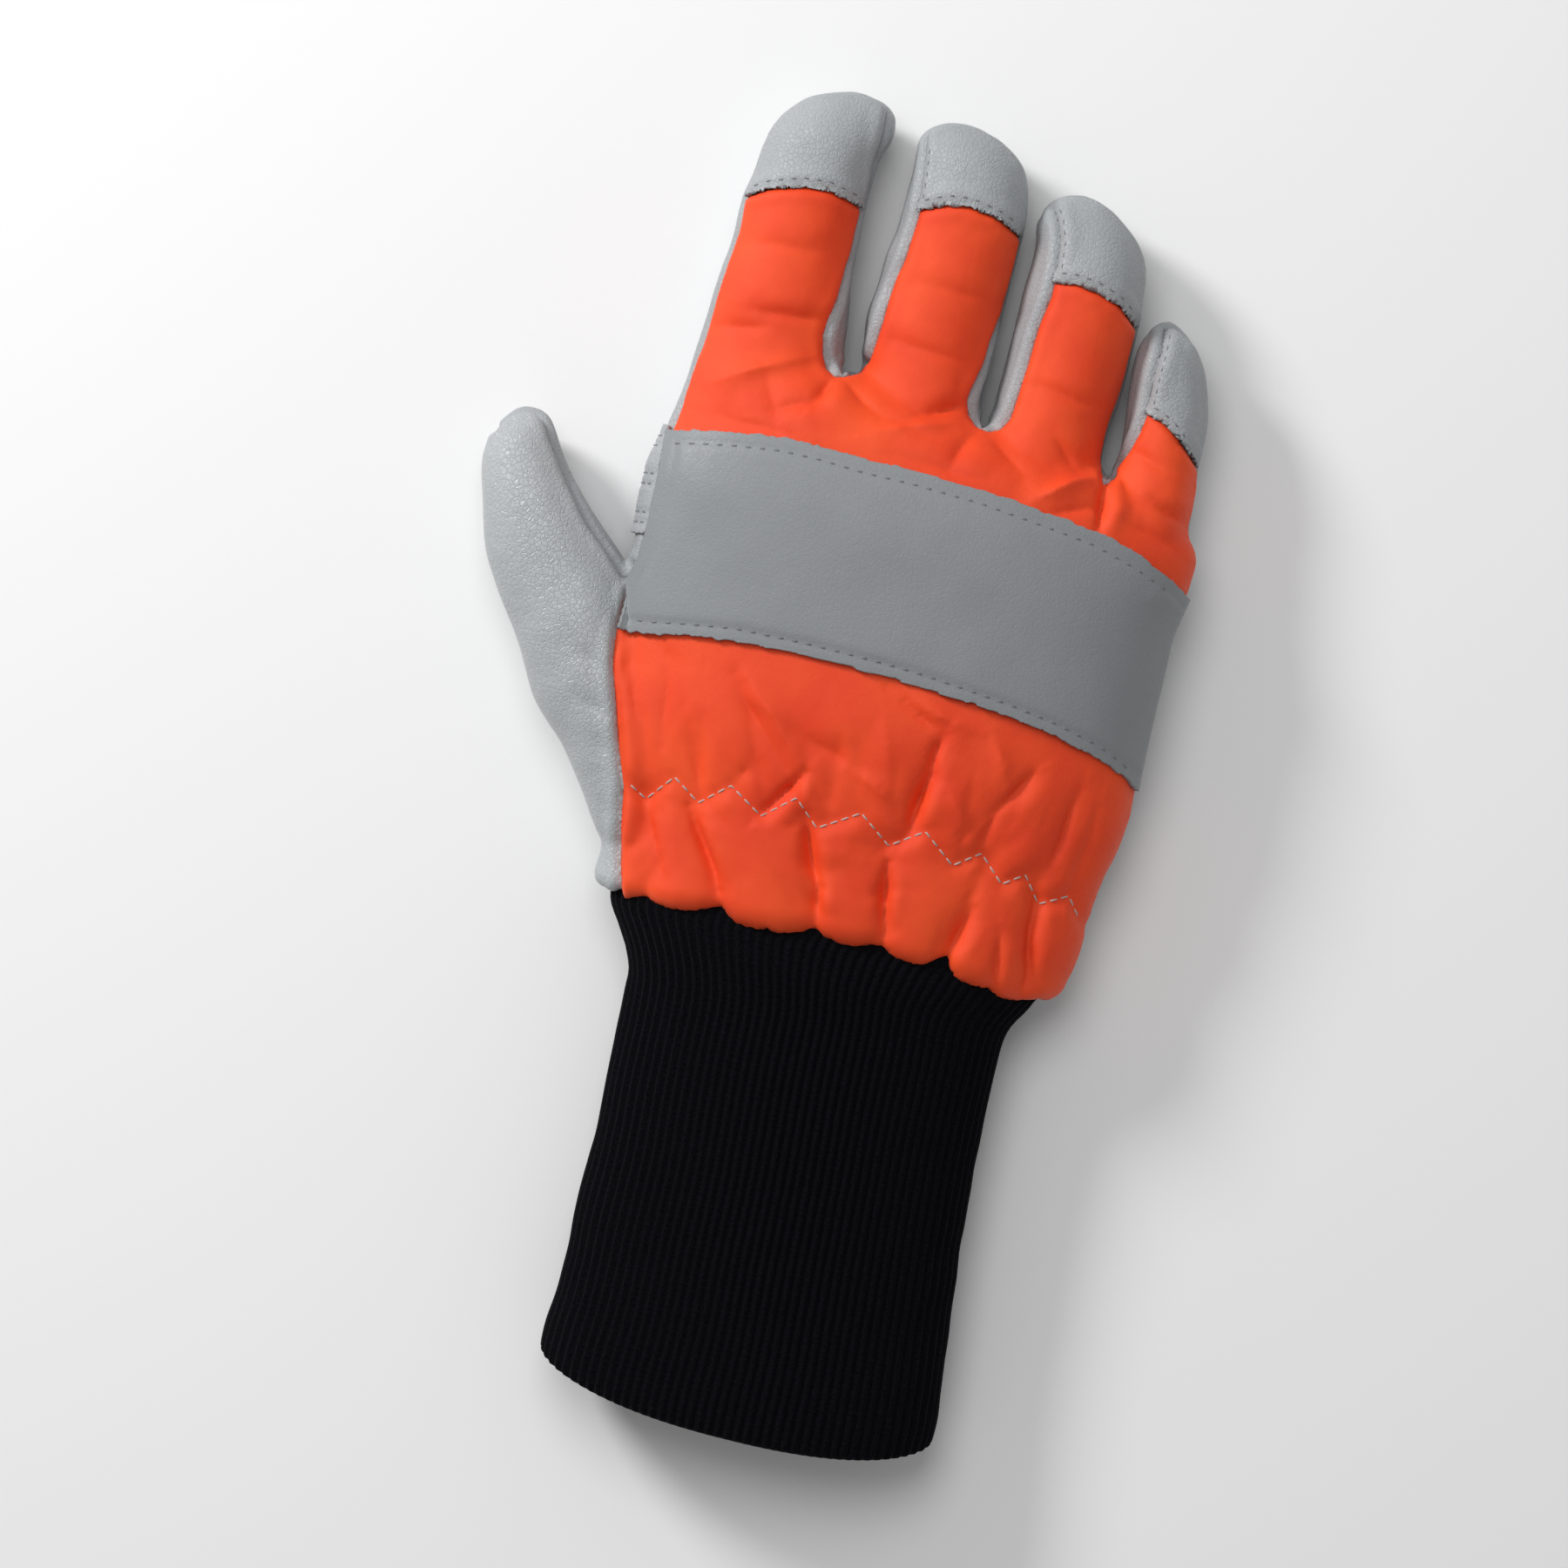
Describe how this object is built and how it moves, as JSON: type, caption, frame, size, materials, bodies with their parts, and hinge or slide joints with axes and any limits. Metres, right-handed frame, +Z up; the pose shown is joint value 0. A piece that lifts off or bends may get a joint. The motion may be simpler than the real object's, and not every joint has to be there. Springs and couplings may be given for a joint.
{
  "type": "chainsaw glove",
  "caption": "Right-hand chainsaw glove with leather palm, hi-vis fabric back, leather knuckle strap, fingertip caps and a long rib-knit cuff.",
  "frame": {"origin": "on the rest surface under the middle of the bounding box", "axes": "+Y along the hand towards the fingertips, +Z up out of the back of the hand, thumb towards -X"},
  "size_m": [0.1536, 0.2848, 0.0357],
  "materials": {
    "leather": "matte grain",
    "strap_leather": "matte grain",
    "fabric_hi_vis": "fine woven, slight sheen",
    "knit": "rib knit"
  },
  "bodies": {
    "root": {"back_panel": "fabric_hi_vis", "palm": "leather", "middle_front": "leather", "ring_front": "leather", "thumb_back": "leather", "index_cap": "leather", "middle_cap": "leather", "ring_cap": "leather", "little_cap": "leather", "knuckle_strap": "strap_leather", "palm_patch": "leather", "cuff": "knit"}
  },
  "joints": []
}
